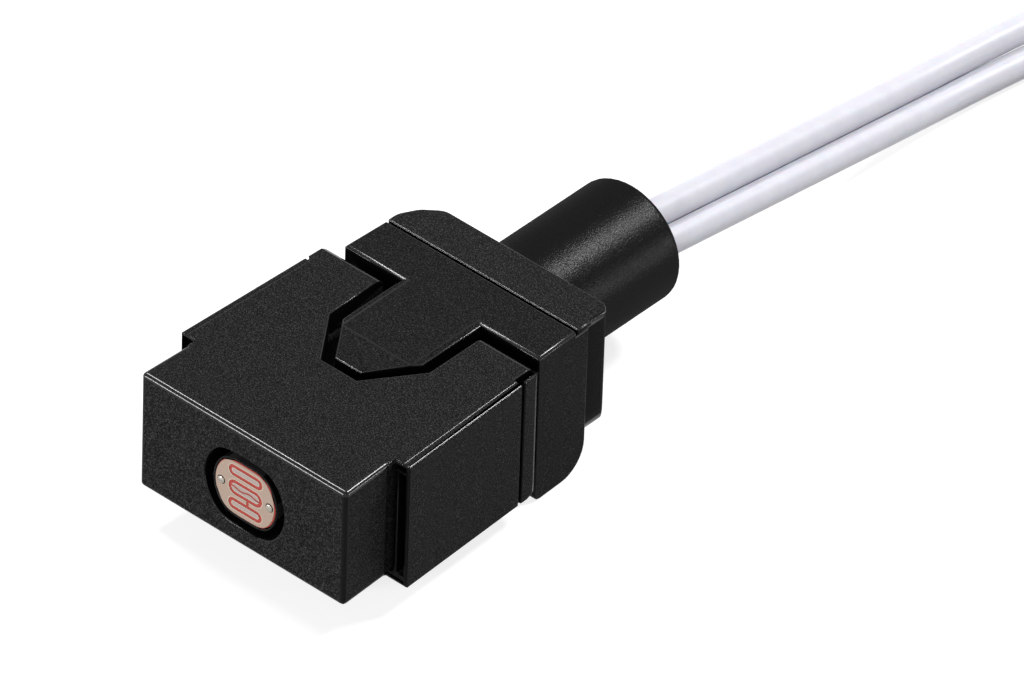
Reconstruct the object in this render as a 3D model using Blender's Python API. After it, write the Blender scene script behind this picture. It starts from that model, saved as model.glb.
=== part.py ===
"""Ambient light sensor on a two-wire lead.

A photocell looks out of a flat-sided recess in the front of a moulded head. The head slides over the
neck of a rear body, whose tongue snaps into a window in the head's top. A rear cover closes the body
and holds a soft cable sleeve by its groove, and two insulated wires leave through the sleeve.

Metres. +Y runs from the photocell to the lead and +Z is up. The origin is under the middle of the
housing, on the plane that it rests on.
"""
import math

import bmesh
import bpy
from mathutils import Vector

# Photocell
CELL_WIDTH = 0.0051
CELL_HEIGHT = 0.0043
CELL_CERAMIC = 0.0010
CELL_LAYER = 0.00008
CELL_CASE_WALL = 0.00016
CELL_CASE_BACK = 0.0005
CELL_EDGE = 0.00006
CELL_SETBACK = 0.0001
CELL_CENTRE_Z = 0.0042
POST_SPACING = 0.0041
POST_HEAD = 0.00056
LEAD_DIAMETER = 0.0005
TRACK_WIDTH = 0.00019
LOOP_LENGTH = 0.00285
LOOP_HEIGHT = 0.00088
MIDDLE_LOOP_HEIGHT = 0.00116
LOOP_PITCH = 0.00132
WAVE_HEIGHT = 0.00005
LINK_OFFSET = 0.0002

# Head moulding
HEAD_WIDTH = 0.0175
HEAD_HEIGHT = 0.0090
HEAD_LENGTH = 0.0176
HEAD_WALL = 0.0015
FRONT_WALL = 0.0036
DRAFT = 0.042
NOSE_EDGE = 0.00025
NOSE_LOWER_EDGE = 0.00045
RECESS_DEPTH = 0.0023
RECESS_MARGIN = 0.0009
RECESS_EDGE = 0.00012
WING_START = 0.0047
WING_REACH = 0.0012
WING_DROP = 0.0009
WING_RIM = 0.00028
WING_POCKET_DEPTH = 0.0013
WING_RIB = 0.00032
WING_BAR = 0.00035
WING_SLIT = 0.00025
WING_SLIT_DROP = 0.0005
WING_SLOT_DEPTH = 0.00065
WING_LIP = 0.00035
WING_LIP_SLOT = 0.0002
WING_LIP_INSET = 0.00064
WING_LIP_RADIUS = 0.0004
CORNER_GROOVE = (0.00016, 0.0001)
CORNER_GROOVE_LENGTH = 0.00064
LEDGE_WIDTH = 0.00042
LEDGE_DEPTH = 0.00006
STRIP_LENGTH = 0.0016
STRIP_GROOVE = 0.00025
STRIP_GROOVE_DEPTH = 0.0002
NOTCH_WIDTH = 0.0005
NOTCH_DEPTH = 0.0009
HEAD_CORNER = 0.0005

# Rear body moulding
HEAD_GAP = 0.00077
COLLAR_WIDTH = 0.01667
COLLAR_LENGTH = 0.0049
COLLAR_DROP = 0.00265
COLLAR_EDGE = 0.0002
COLLAR_LOWER_EDGE = 0.0005
COLLAR_HEEL = 0.0022
TONGUE_WIDTH = 0.0068
TONGUE_TIP_WIDTH = 0.0022
TONGUE_LENGTH = 0.0087
TONGUE_CREST = 0.0061
TONGUE_SHOULDER = 0.0055
TONGUE_THICKNESS = 0.0011
TONGUE_TIP_DROP = 0.00015
TONGUE_BEVEL = 0.00046
TONGUE_BEVEL_DROP = 0.00008
WINDOW_CLEARANCE = 0.00085
NECK_CLEARANCE = 0.0020
NECK_EDGE = 0.0005
SOLE_SETBACK = 0.0032
SOLE_WIDTH = 0.0118
SPLICE_BORE = 0.0032
CHAMBER_HEIGHT = 0.0038
POCKET_RADIUS = 0.0040
POCKET_DEPTH = 0.0030

# Rear cover and cable sleeve
COVER_THICKNESS = 0.00215
COVER_SEAM = 0.00005
COVER_RISE = 0.00123
COVER_LOWER_RADIUS = 0.0026
COVER_HEEL = 0.0009
COVER_CUT_START = 0.00237
COVER_CUT_MIDDLE = (0.00073, 0.00104)
COVER_CUT_END = 0.0020
COVER_CUT_RADIUS = 0.0015
COVER_CORNER = 0.0006
COVER_CUT_END_RADIUS = 0.0012
COVER_LIP_LENGTH = 0.0011
COVER_LIP_SEAM = 0.0002
COVER_LIP_THICKNESS = 0.00035
COVER_INSET = 0.0002
COVER_TOP_RADIUS = 0.0006
SLEEVE_DIAMETER = 0.0088
SLEEVE_LENGTH = 0.0109
SLEEVE_SEAM = 0.0002
SLEEVE_AXIS_Z = 0.0039
SLEEVE_EDGE = 0.0005
SLEEVE_FOOT = 0.0002
SLEEVE_NECK_DIAMETER = 0.0058
SLEEVE_HEAD_DIAMETER = 0.0074
SLEEVE_HEAD_LENGTH = 0.0016

# Wires and their joints
WIRE_DIAMETER = 0.0019
WIRE_SPACING = 0.0020
WIRE_CLEARANCE = 0.00015
CORE_DIAMETER = 0.0010
SPLICE_DIAMETER = 0.0019
SPLICE_BORE_DIAMETER = 0.0012
SPLICE_LENGTH = 0.0045
TUBE_WALL = 0.00025
TUBE_OVERLAP = 0.0010
BARE_END = 0.0055
EXIT_SLOPE = 0.143
EXIT_BEND = 0.0060

# The lead outside: each wire's centre line down to the floor, then part of a flat turn round one centre
LEFT_ROUTE = (
    (-0.0007, 0.0186, 0.00676), (-0.0007, 0.0243, 0.00595), (-0.0007, 0.0303, 0.00509),
    (-0.0007, 0.0363, 0.00423), (-0.0007, 0.0423, 0.00338), (-0.0007, 0.0473, 0.00268),
    (-0.0004, 0.0517, 0.00243), (0.0003, 0.0571, 0.00237), (0.0007, 0.0611, 0.00178),
    (0.0011, 0.0648, 0.00120),
)
RIGHT_ROUTE = (
    (0.0007, 0.0186, 0.00535), (0.0007, 0.0243, 0.00454), (0.0007, 0.0303, 0.00368),
    (0.0007, 0.0363, 0.00282), (0.0007, 0.0423, 0.00196), (0.0007, 0.0473, 0.00127),
    (0.0010, 0.0515, 0.00101), (0.0018, 0.0569, 0.00099), (0.0026, 0.0608, 0.00099),
    (0.0032, 0.0645, 0.00099),
)
TURN_CENTRE = (0.01356, 0.0669, 0.00099)
TURN_RADIUS = 0.0110
TURN_SPACING = 0.0022
TURN_HEADING = math.radians(7.8)
TURN_SWEEPS = (math.radians(225), math.radians(270))

# Clearances between pieces
SEAT_GAP = 0.0003
FINE_GAP = 0.00003

# Places that follow from the sizes above
TOTAL_LENGTH = (HEAD_LENGTH + HEAD_GAP + COLLAR_LENGTH + COVER_SEAM + COVER_THICKNESS
                + SLEEVE_SEAM + SLEEVE_LENGTH)
FRONT_Y = -TOTAL_LENGTH / 2
HEAD_REAR_Y = FRONT_Y + HEAD_LENGTH
COLLAR_Y = HEAD_REAR_Y + HEAD_GAP
COLLAR_REAR_Y = COLLAR_Y + COLLAR_LENGTH
COVER_Y = COLLAR_REAR_Y + COVER_SEAM
COVER_REAR_Y = COVER_Y + COVER_THICKNESS
SLEEVE_Y = COVER_REAR_Y + SLEEVE_SEAM
SLEEVE_END_Y = SLEEVE_Y + SLEEVE_LENGTH
HEAD_Z = COLLAR_DROP
TOP_Z = HEAD_Z + HEAD_HEIGHT
WING_Z = HEAD_Z - WING_DROP
CELL_Z = HEAD_Z + CELL_CENTRE_Z
SLEEVE_Z = HEAD_Z + SLEEVE_AXIS_Z
FILM_Y = FRONT_Y + CELL_SETBACK
LAYER_Y = FILM_Y + CELL_LAYER + FINE_GAP
CERAMIC_Y = LAYER_Y + CELL_LAYER + FINE_GAP
CASE_BACK_Y = CERAMIC_Y + CELL_CERAMIC + FINE_GAP
RECESS_Y = FRONT_Y + RECESS_DEPTH
CAVITY_Y = FRONT_Y + FRONT_WALL
NECK_Y = CAVITY_Y + NECK_CLEARANCE
SPLICE_Y = NECK_Y + 2 * SEAT_GAP
CHAMBER_Y = SPLICE_Y + SPLICE_LENGTH + TUBE_OVERLAP

SIDES = (("left", -1), ("right", 1))


def material(name, colour, roughness, metallic=0.0):
    """A plain finish for one kind of piece."""
    made = bpy.data.materials.get(name) or bpy.data.materials.new(name)
    made.use_nodes = True
    shader = made.node_tree.nodes["Principled BSDF"]
    shader.inputs["Base Color"].default_value = colour
    shader.inputs["Roughness"].default_value = roughness
    shader.inputs["Metallic"].default_value = metallic
    return made


def place(name, shape, finish, angle=35):
    """Turns a bmesh into a named object, smooth except at its sharp edges."""
    bmesh.ops.recalc_face_normals(shape, faces=shape.faces)
    mesh = bpy.data.meshes.new(name)
    shape.to_mesh(mesh)
    shape.free()
    mesh.shade_smooth()
    mesh.set_sharp_from_angle(angle=math.radians(angle))
    placed = bpy.data.objects.new(name, mesh)
    bpy.context.scene.collection.objects.link(placed)
    if finish is not None:
        mesh.materials.append(finish)
    return placed


def shape_with(target, tool_shape, operation, label):
    """Cuts a shape out of an object, or joins it on, with an exact Boolean."""
    tool = place(f"{target.name}_{label}", tool_shape, None)
    tool.hide_render = True
    tool.display_type = "WIRE"
    step = target.modifiers.new(label, "BOOLEAN")
    step.operation = operation
    step.solver = "EXACT"
    step.object = tool
    return tool


def cut(target, tool_shape, label):
    return shape_with(target, tool_shape, "DIFFERENCE", label)


def join(target, tool_shape, label):
    return shape_with(target, tool_shape, "UNION", label)


def prism(outline, axis, low, high):
    """An outline in the plane across axis, pushed from low to high along it."""
    def at(point, along):
        first, second = point
        return {"X": (along, first, second), "Y": (first, along, second), "Z": (first, second, along)}[axis]

    shape = bmesh.new()
    near = [shape.verts.new(at(point, low)) for point in outline]
    far = [shape.verts.new(at(point, high)) for point in outline]
    shape.faces.new(near)
    shape.faces.new(list(reversed(far)))
    for i in range(len(outline)):
        j = (i + 1) % len(outline)
        shape.faces.new((near[j], near[i], far[i], far[j]))
    return shape


def block(x, y, z):
    """A box between two limits on each axis."""
    outline = [(x[0], z[0]), (x[1], z[0]), (x[1], z[1]), (x[0], z[1])]
    return prism(outline, "Y", y[0], y[1])


def drafted_block(front_width, y, z, front_y):
    """A box that narrows towards the rear by the moulding's draft on each side."""
    near = front_width / 2 - DRAFT * (y[0] - front_y)
    far = front_width / 2 - DRAFT * (y[1] - front_y)
    return prism([(-near, y[0]), (near, y[0]), (far, y[1]), (-far, y[1])], "Z", z[0], z[1])


def round_edges(shape, radius, chosen, segments=3):
    """Rounds each edge whose two ends both pass the test."""
    edges = [edge for edge in shape.edges if all(chosen(vert.co) for vert in edge.verts)]
    bmesh.ops.bevel(shape, geom=edges, offset=radius, segments=segments, profile=0.5, affect="EDGES",
                    clamp_overlap=True)


def outside_arc(y, z, radius, end):
    """What a rounding takes off a lower edge, as (y, z) points. The solid ends at y on its -1 or +1 side."""
    points = [(y + end * SEAT_GAP, z - SEAT_GAP), (y + end * SEAT_GAP, z + radius)]
    for turn in (math.pi / 2 * i / 6 for i in range(7)):
        points.append((y - end * radius * (1 - math.cos(turn)), z + radius * (1 - math.sin(turn))))
    points.append((y - end * radius, z - SEAT_GAP))
    return points


def near_to(value, target):
    return abs(value - target) < 1e-6


def flat_sided(radius, flat, steps=48):
    """A circle with its top and bottom cut flat, as (x, z) points about the cell's centre."""
    turn = math.asin(min(1.0, flat / radius))
    side = [-turn + 2 * turn * i / (steps // 2) for i in range(steps // 2 + 1)]
    right = [(radius * math.cos(a), CELL_Z + radius * math.sin(a)) for a in side]
    return right + [(-x, 2 * CELL_Z - z) for x, z in right]


def cell_outline(margin):
    """The photocell's outline, grown by a margin."""
    return flat_sided(CELL_WIDTH / 2 + margin, CELL_HEIGHT / 2 + margin)


def long_loop(height, level, inset=0.0, steps=8):
    """A racetrack outline parallel to the cell's flats, as (x, z) points."""
    radius = height / 2 - inset
    reach = LOOP_LENGTH / 2 - height / 2
    points = []
    for end in (1, -1):
        for i in range(steps + 1):
            turn = math.pi * (i / steps - 0.5)
            points.append((end * (reach + radius * math.cos(turn)), level + end * radius * math.sin(turn)))
    return points


def disc(x, y_low, y_high, z, radius, steps=20):
    """A short round bar along Y."""
    circle = [(x + radius * math.cos(2 * math.pi * i / steps), z + radius * math.sin(2 * math.pi * i / steps))
              for i in range(steps)]
    return prism(circle, "Y", y_low, y_high)


def turned(profile, x, z, steps):
    """A turned solid about an axis along Y. The profile is (y, radius) points, closed or ending on the axis."""
    shape = bmesh.new()
    line = [shape.verts.new((x + radius, y, z)) for y, radius in profile]
    edges = [shape.edges.new(pair) for pair in zip(line, line[1:])]
    if min(radius for _, radius in profile) > 0:
        edges.append(shape.edges.new((line[-1], line[0])))
    bmesh.ops.spin(shape, geom=line + edges, cent=(x, 0, z), axis=(0, 1, 0), angle=2 * math.pi,
                   steps=steps, use_merge=True)
    bmesh.ops.remove_doubles(shape, verts=shape.verts, dist=1e-7)
    return shape


def swept(points, radius, sides):
    """A round bar along a line of points, closed at both ends."""
    shape = bmesh.new()
    rings = []
    for i, point in enumerate(points):
        before, after = points[max(i - 1, 0)], points[min(i + 1, len(points) - 1)]
        along = (after - before).normalized()
        across = along.cross(Vector((0, 0, 1))).normalized()
        up = across.cross(along)
        turns = [2 * math.pi * k / sides for k in range(sides)]
        rings.append([shape.verts.new(point + radius * (math.cos(t) * across + math.sin(t) * up)) for t in turns])
    for ring, following in zip(rings, rings[1:]):
        for k in range(sides):
            n = (k + 1) % sides
            shape.faces.new((ring[k], ring[n], following[n], following[k]))
    shape.faces.new(list(reversed(rings[0])))
    shape.faces.new(rings[-1])
    return shape


def tube(name, points, diameter, finish, resolution=2):
    """A wire's stretch: a curve with a round bevel and filled ends."""
    curve = bpy.data.curves.new(name, "CURVE")
    curve.dimensions = "3D"
    curve.bevel_depth = diameter / 2
    curve.bevel_resolution = resolution
    curve.use_fill_caps = True
    line = curve.splines.new("POLY")
    line.points.add(len(points) - 1)
    for target, point in zip(line.points, points):
        target.co = (*point, 1)
    curve.materials.append(finish)
    made = bpy.data.objects.new(name, curve)
    bpy.context.scene.collection.objects.link(made)
    return made


def smooth_line(knots, spacing):
    """Points at an even spacing on a smooth curve through the knots."""
    fine = []
    for i in range(len(knots) - 1):
        a, b, c, d = (knots[max(0, min(len(knots) - 1, i + k))] for k in (-1, 0, 1, 2))
        for k in range(24):
            t = k / 24
            fine.append(0.5 * (2 * b + (c - a) * t + (2 * a - 5 * b + 4 * c - d) * t * t
                               + (3 * b - a - 3 * c + d) * t ** 3))
    fine.append(knots[-1])
    length = sum((q - p).length for p, q in zip(fine, fine[1:]))
    count = max(2, round(length / spacing))
    picked, walked, target = [fine[0]], 0.0, length / count
    for p, q in zip(fine, fine[1:]):
        step = (q - p).length
        while walked + step >= target - 1e-9 and len(picked) < count:
            picked.append(p.lerp(q, (target - walked) / step))
            target += length / count
        walked += step
    return picked + [fine[-1]]


def photocell():
    """The flat-sided cell: black case, ceramic, photoconductive layer, metal film and its four fingers."""
    case_shape = prism(cell_outline(FINE_GAP + CELL_CASE_WALL), "Y", FILM_Y, CASE_BACK_Y + CELL_CASE_BACK)
    case = place("photocell_case", case_shape, material("cell_case", (0.012, 0.012, 0.014, 1), 0.15))
    cut(case, prism(cell_outline(FINE_GAP), "Y", FILM_Y - SEAT_GAP, CASE_BACK_Y), "inside")

    ceramic = place("photocell_ceramic", prism(cell_outline(0), "Y", CERAMIC_Y, CERAMIC_Y + CELL_CERAMIC),
                    material("ceramic", (0.80, 0.76, 0.70, 1), 0.55))
    layer = place("photoconductive_layer", prism(cell_outline(0), "Y", LAYER_Y, LAYER_Y + CELL_LAYER),
                  material("photoconductor", (0.42, 0.035, 0.022, 1), 0.35))
    film = place("electrode_film", prism(cell_outline(-CELL_EDGE), "Y", FILM_Y, FILM_Y + CELL_LAYER),
                 material("electrode_film", (0.50, 0.38, 0.32, 1), 0.35, 0.2))

    loops = {"upper": (LOOP_HEIGHT, CELL_Z + LOOP_PITCH), "middle": (MIDDLE_LOOP_HEIGHT, CELL_Z),
             "lower": (LOOP_HEIGHT, CELL_Z - LOOP_PITCH)}
    before, behind = FILM_Y - SEAT_GAP, FILM_Y + SEAT_GAP
    for label, (height, level) in loops.items():
        cut(film, prism(long_loop(height, level), "Y", before, behind), f"{label}_slot")
    link_x = (LINK_OFFSET - TRACK_WIDTH / 2, LINK_OFFSET + TRACK_WIDTH / 2)
    cut(film, block(link_x, (before, behind), (CELL_Z - LOOP_PITCH, CELL_Z)), "link")

    finger = material("electrode_finger", (0.55, 0.53, 0.49, 1), 0.35, 0.3)
    for label in ("upper", "lower"):
        height, level = loops[label]
        place(f"electrode_finger_{label}",
              prism(long_loop(height, level, TRACK_WIDTH), "Y", FILM_Y, FILM_Y + CELL_LAYER), finger)
    middle = long_loop(MIDDLE_LOOP_HEIGHT, CELL_Z, TRACK_WIDTH, steps=12)
    for label, side in (("middle_upper", 1), ("middle_lower", -1)):
        made = place(f"electrode_finger_{label}", prism(middle, "Y", FILM_Y, FILM_Y + CELL_LAYER), finger)
        cut(made, wavy_half(-side, before, behind), "wave")

    for side, sign in SIDES:
        x = sign * POST_SPACING / 2
        for piece in (case, ceramic, layer, film):
            hole = disc(x, FILM_Y - SEAT_GAP, CASE_BACK_Y + 2 * CELL_CASE_BACK, CELL_Z,
                        LEAD_DIAMETER / 2 + FINE_GAP, 16)
            cut(piece, hole, f"{side}_post_hole")
        photocell_lead(f"{side}_photocell_lead", x)


def wavy_half(side, y_low, y_high):
    """One side of the wavy line through the middle loop, with half of the track's width on it."""
    reach = LOOP_LENGTH
    edge = CELL_Z - side * TRACK_WIDTH / 4
    steps = 24
    line = []
    for i in range(steps + 1):
        x = -reach / 2 + reach * i / steps
        line.append((x, edge + WAVE_HEIGHT * math.sin(4 * math.pi * x / LOOP_LENGTH)))
    far = CELL_Z + side * CELL_HEIGHT
    return prism(line + [(reach / 2, far), (-reach / 2, far)], "Y", y_low, y_high)


def photocell_lead(name, x):
    """A tinned wire lead: a low round head on the cell's face and a straight shank to its splice."""
    radius, head = LEAD_DIAMETER / 2, POST_HEAD / 2
    front = FILM_Y - FINE_GAP
    dome = [(front - 0.3 * head * math.cos(a), head * math.sin(a)) for a in
            (math.pi / 2 * i / 5 for i in range(6))]
    shank_end = SPLICE_Y + SPLICE_LENGTH / 2 - SEAT_GAP
    profile = dome + [(front, radius), (shank_end, radius), (shank_end, 0)]
    place(name, turned(profile, x, CELL_Z, 20), material("tinned_copper", (0.62, 0.60, 0.57, 1), 0.25, 1.0))


def head_housing(finish):
    """The front moulding: a nose with the photocell's recess, wings at its sides, hollow from the rear."""
    wing_front_y = FRONT_Y + WING_START
    wing_width = HEAD_WIDTH + 2 * WING_REACH - 2 * DRAFT * WING_START
    nose = drafted_block(HEAD_WIDTH, (FRONT_Y, HEAD_REAR_Y - HEAD_WALL), (HEAD_Z, TOP_Z), FRONT_Y)
    round_edges(nose, NOSE_LOWER_EDGE, lambda co: near_to(co.z, HEAD_Z), 4)
    round_edges(nose, NOSE_EDGE, lambda co: co.y < wing_front_y and co.z > HEAD_Z + NOSE_LOWER_EDGE / 2)
    shell = drafted_block(wing_width, (wing_front_y, HEAD_REAR_Y), (WING_Z, TOP_Z), wing_front_y)
    round_edges(shell, HEAD_CORNER, lambda co: near_to(co.y, HEAD_REAR_Y))
    round_edges(shell, NOSE_EDGE / 2, lambda co: abs(co.x) > HEAD_WIDTH / 2 - HEAD_WALL
                and co.y < HEAD_REAR_Y - HEAD_CORNER / 2, 2)
    head = place("head_housing", nose, finish)
    join(head, shell, "wings")
    lip_round = outside_arc(wing_front_y, WING_Z, WING_LIP_RADIUS, -1)
    cut(head, prism(lip_round, "X", -wing_width, wing_width), "lip_round")

    inner = HEAD_WIDTH / 2 - DRAFT * HEAD_LENGTH - HEAD_WALL
    cavity_z = (HEAD_Z + HEAD_WALL, TOP_Z - HEAD_WALL)
    cut(head, block((-inner, inner), (CAVITY_Y, HEAD_REAR_Y + HEAD_GAP), cavity_z), "cavity")
    cut(head, prism(window_outline(), "Z", TOP_Z - 2 * HEAD_WALL, TOP_Z + HEAD_WALL), "window")
    photocell_recess(head)
    for side, sign in SIDES:
        wing_front(head, side, sign, wing_front_y, wing_width / 2)
        wing_rear(head, side, sign, wing_front_y, wing_width / 2)
    return head


def window_outline():
    """The tongue's outline grown by the clearance round it, open at the rear of the head."""
    shoulder = TONGUE_WIDTH / 2 + WINDOW_CLEARANCE
    tip = TONGUE_TIP_WIDTH / 2 + WINDOW_CLEARANCE / 2
    tip_y = COLLAR_Y - TONGUE_LENGTH - WINDOW_CLEARANCE
    shoulder_y = COLLAR_Y - TONGUE_SHOULDER - WINDOW_CLEARANCE / 3
    return [(-shoulder, COLLAR_Y), (-shoulder, shoulder_y), (-tip, tip_y), (tip, tip_y),
            (shoulder, shoulder_y), (shoulder, COLLAR_Y)]


def photocell_recess(head):
    """A flat-sided recess with a fine lit edge, and a hole behind it for each of the cell's leads."""
    cut(head, prism(cell_outline(RECESS_MARGIN), "Y", FRONT_Y - SEAT_GAP, RECESS_Y), "recess")
    flare = bmesh.new()
    rings = []
    for y, grown in ((FRONT_Y - RECESS_EDGE, 2 * RECESS_EDGE), (FRONT_Y + RECESS_EDGE, 0)):
        rings.append([flare.verts.new((x, y, z)) for x, z in cell_outline(RECESS_MARGIN + grown)])
    count = len(rings[0])
    for i in range(count):
        j = (i + 1) % count
        flare.faces.new((rings[0][i], rings[0][j], rings[1][j], rings[1][i]))
    flare.faces.new(rings[0])
    flare.faces.new(list(reversed(rings[1])))
    cut(head, flare, "recess_edge")
    for side, sign in SIDES:
        hole = disc(sign * POST_SPACING / 2, RECESS_Y - SEAT_GAP, CAVITY_Y + SEAT_GAP, CELL_Z,
                    LEAD_DIAMETER / 2 + SEAT_GAP, 16)
        cut(head, hole, f"{side}_lead_hole")


def wing_front(head, side, sign, front_y, half):
    """The open front of a wing: a deep pocket inside a thin rim, with a slit and a bar above and a lip below."""
    def slot(near, far, depth, low, high, label):
        x_low, x_high = sorted((sign * near, sign * far))
        cut(head, block((x_low, x_high), (front_y - SEAT_GAP, front_y + depth), (low, high)), f"{side}_{label}")

    outer = half - WING_RIM
    root = HEAD_WIDTH / 2 - DRAFT * WING_START
    slit_z = TOP_Z - LEDGE_DEPTH - WING_SLIT_DROP
    lip_z = WING_Z + WING_LIP
    slot(root + WING_RIB, outer, WING_POCKET_DEPTH, HEAD_Z, slit_z - WING_BAR, "pocket")
    slot(root, outer, WING_SLOT_DEPTH, slit_z, slit_z + WING_SLIT, "slit")
    slot(root - WING_LIP_INSET, outer, WING_SLOT_DEPTH, lip_z, lip_z + WING_LIP_SLOT, "lip_slot")

    inward, outward = CORNER_GROOVE
    groove_x = sorted((sign * (root - inward), sign * (root + outward)))
    groove_y = (front_y - CORNER_GROOVE_LENGTH, front_y + CORNER_GROOVE_LENGTH / 2)
    cut(head, block(groove_x, groove_y, (HEAD_Z, slit_z)), f"{side}_corner_groove")


def wing_rear(head, side, sign, front_y, half):
    """The wing's rear: a fine top ledge, a grooved side strip and a cut lower corner; a notch on the right."""
    strip_y = HEAD_REAR_Y - STRIP_LENGTH
    at_strip = half - DRAFT * (strip_y - front_y)
    at_rear = half - DRAFT * (HEAD_REAR_Y - front_y)

    ledge = [(sign * (half - LEDGE_WIDTH), front_y - SEAT_GAP), (sign * (half + LEDGE_WIDTH), front_y - SEAT_GAP),
             (sign * (half + LEDGE_WIDTH), strip_y), (sign * (at_strip - LEDGE_WIDTH), strip_y)]
    cut(head, prism(ledge, "Z", TOP_Z - LEDGE_DEPTH, TOP_Z + SEAT_GAP), f"{side}_ledge")

    groove_x = sorted((sign * (at_strip - STRIP_GROOVE_DEPTH), sign * (half + WING_REACH)))
    cut(head, block(groove_x, (strip_y - STRIP_GROOVE, strip_y), (WING_Z - SEAT_GAP, TOP_Z + SEAT_GAP)),
        f"{side}_groove")

    if side == "right":
        notch_x = (at_rear - WING_RIM / 2 - NOTCH_WIDTH, at_rear - WING_RIM / 2)
        notch_y = (strip_y - STRIP_GROOVE, HEAD_REAR_Y - HEAD_CORNER / 2)
        cut(head, block(notch_x, notch_y, (TOP_Z - NOTCH_DEPTH, TOP_Z + SEAT_GAP)), "notch")

    corner = [(strip_y + STRIP_GROOVE, WING_Z - SEAT_GAP), (HEAD_REAR_Y + SEAT_GAP, WING_Z - SEAT_GAP),
              (HEAD_REAR_Y + SEAT_GAP, WING_Z + STRIP_LENGTH / 3), (strip_y + 2 * STRIP_GROOVE, WING_Z)]
    corner_x = sorted((sign * (at_rear - WING_REACH), sign * (half + WING_REACH)))
    cut(head, prism(corner, "X", corner_x[0], corner_x[1]), f"{side}_lower_corner")


def rear_body(finish):
    """The rear moulding: a collar with a neck and a tongue into the head and a sole under it."""
    collar = drafted_block(COLLAR_WIDTH, (COLLAR_Y, COLLAR_REAR_Y), (0, TOP_Z), COLLAR_Y)
    round_edges(collar, COLLAR_HEEL, lambda co: near_to(co.y, COLLAR_REAR_Y) and near_to(co.z, 0), 8)
    round_edges(collar, COLLAR_LOWER_EDGE, lambda co: near_to(co.y, COLLAR_Y) and near_to(co.z, 0))
    round_edges(collar, COLLAR_EDGE, lambda co: co.z > COLLAR_HEEL and co.y < COLLAR_REAR_Y - COLLAR_EDGE
                or near_to(co.z, TOP_Z) and abs(co.x) > 0, 2)
    body = place("rear_body", collar, finish)

    inner = HEAD_WIDTH / 2 - DRAFT * HEAD_LENGTH - HEAD_WALL - SEAT_GAP
    neck_z = (HEAD_Z + HEAD_WALL + SEAT_GAP, TOP_Z - HEAD_WALL - SEAT_GAP)
    neck = block((-inner, inner), (NECK_Y, COLLAR_Y + HEAD_WALL), neck_z)
    round_edges(neck, NECK_EDGE, lambda co: near_to(co.y, NECK_Y))
    join(body, neck, "neck")

    sole_y = FRONT_Y + SOLE_SETBACK
    sole = block((-SOLE_WIDTH / 2, SOLE_WIDTH / 2), (sole_y, COLLAR_Y + HEAD_WALL), (0, WING_Z - SEAT_GAP))
    round_edges(sole, NECK_EDGE, lambda co: near_to(co.y, sole_y))
    join(body, sole, "sole")
    join(body, tongue(), "tongue")

    for side, sign in SIDES:
        bore = disc(sign * POST_SPACING / 2, NECK_Y - SEAT_GAP, COLLAR_REAR_Y - POCKET_DEPTH + SEAT_GAP, CELL_Z,
                    SPLICE_BORE / 2, 20)
        cut(body, bore, f"{side}_splice_bore")
    chamber = prism(wire_chamber(), "Y", CHAMBER_Y, COLLAR_REAR_Y - POCKET_DEPTH + SEAT_GAP)
    cut(body, chamber, "wire_chamber")
    pocket = disc(0, COLLAR_REAR_Y - POCKET_DEPTH, COLLAR_REAR_Y + SEAT_GAP, SLEEVE_Z, POCKET_RADIUS, 40)
    cut(body, pocket, "sleeve_pocket")
    rebate = block((-COLLAR_WIDTH, COLLAR_WIDTH),
                   (COVER_Y - COVER_LIP_LENGTH - COVER_LIP_SEAM, COLLAR_REAR_Y + SEAT_GAP),
                   (TOP_Z - COVER_LIP_THICKNESS - COVER_SEAM, TOP_Z + SEAT_GAP))
    cut(body, rebate, "cover_rebate")
    return body


def wire_chamber():
    """The two splice bores run into one chamber of their own width, where the wires come together."""
    outline = []
    for end in (1, -1):
        for i in range(13):
            turn = math.pi * (i / 12 - 0.5)
            outline.append((end * (POST_SPACING / 2 + SPLICE_BORE / 2 * math.cos(turn)),
                            CELL_Z + end * CHAMBER_HEIGHT / 2 * math.sin(turn)))
    return outline


def tongue():
    """The spring tongue: a crest across it, a tip that slopes down and a shallow bevel on each side."""
    half, tip = TONGUE_WIDTH / 2, TONGUE_TIP_WIDTH / 2
    root_y, crest_y = COLLAR_Y + COLLAR_EDGE * 2, COLLAR_Y - TONGUE_CREST
    shoulder_y, tip_y = COLLAR_Y - TONGUE_SHOULDER, COLLAR_Y - TONGUE_LENGTH
    low = TOP_Z - TONGUE_THICKNESS
    inner, side_z = half - TONGUE_BEVEL, TOP_Z - TONGUE_BEVEL_DROP
    under = [(-half, root_y), (-half, shoulder_y), (-tip, tip_y), (tip, tip_y), (half, shoulder_y), (half, root_y)]
    over_z = [side_z, side_z, TOP_Z - TONGUE_TIP_DROP, TOP_Z - TONGUE_TIP_DROP, side_z, side_z]

    shape = bmesh.new()
    lower = [shape.verts.new((x, y, low)) for x, y in under]
    upper = [shape.verts.new((x, y, z)) for (x, y), z in zip(under, over_z)]
    flat = [shape.verts.new((x, y, TOP_Z)) for x, y in
            ((-inner, root_y), (-inner, crest_y), (inner, crest_y), (inner, root_y))]
    shape.faces.new(lower)
    for i in range(6):
        j = (i + 1) % 6
        if (i, j) != (5, 0):
            shape.faces.new((lower[i], lower[j], upper[j], upper[i]))
    shape.faces.new((lower[5], lower[0], upper[0], flat[0], flat[3], upper[5]))
    shape.faces.new(flat)
    shape.faces.new((upper[0], upper[1], flat[1], flat[0]))
    shape.faces.new((upper[1], upper[2], flat[1]))
    shape.faces.new((upper[2], upper[3], flat[2], flat[1]))
    shape.faces.new((upper[3], upper[4], flat[2]))
    shape.faces.new((upper[4], upper[5], flat[3], flat[2]))
    return shape


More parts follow.
